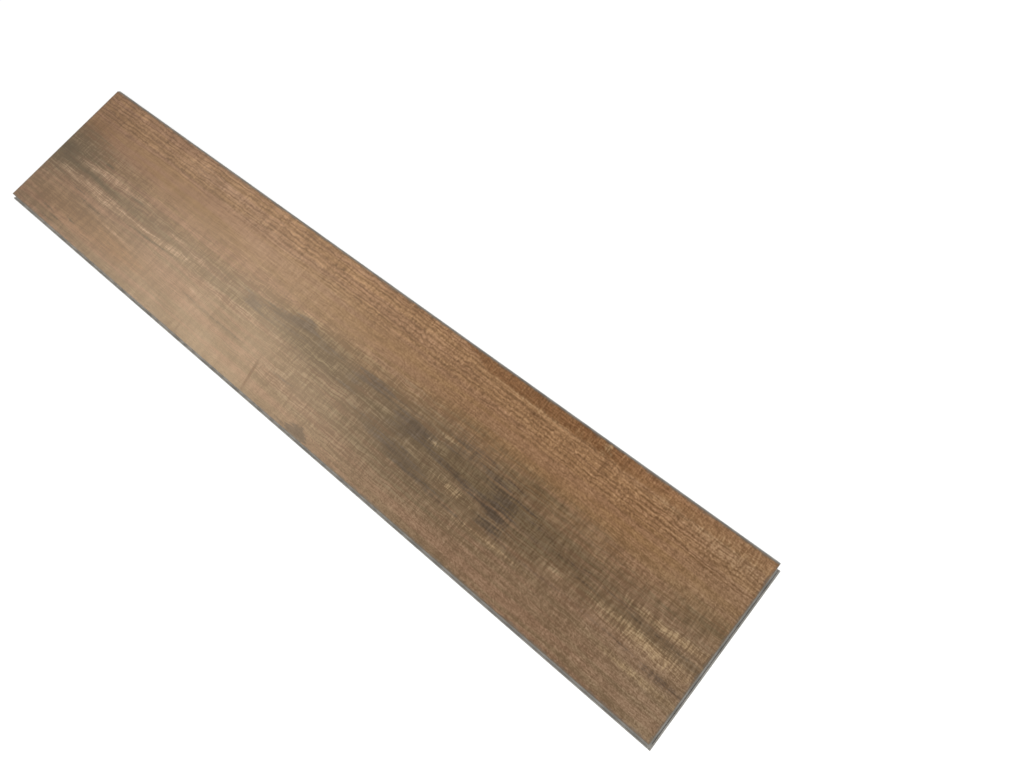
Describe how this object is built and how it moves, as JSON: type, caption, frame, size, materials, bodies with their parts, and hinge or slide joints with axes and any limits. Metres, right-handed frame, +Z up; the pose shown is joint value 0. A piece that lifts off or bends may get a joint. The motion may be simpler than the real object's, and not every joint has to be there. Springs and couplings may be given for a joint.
{
  "type": "rigid core vinyl plank",
  "caption": "Long thin floor plank with a wood-look printed vinyl face on a grey rigid core, tongue and groove long edges and drop-lock ends that click into like planks.",
  "frame": {"origin": "on the underside, below the centre of the printed face", "axes": "+X along the plank to the end with the hook lip, +Y across it to the tongue edge, +Z up to the printed face"},
  "size_m": [1.2245, 0.2367, 0.0055],
  "materials": {
    "core": "milled stone-plastic composite, pale warm grey, matt",
    "printed_face": "satin clear wear layer over a brown weathered wood-grain print"
  },
  "bodies": {
    "root": {"rigid_core": "core", "printed_vinyl_face": "printed_face"}
  },
  "joints": []
}
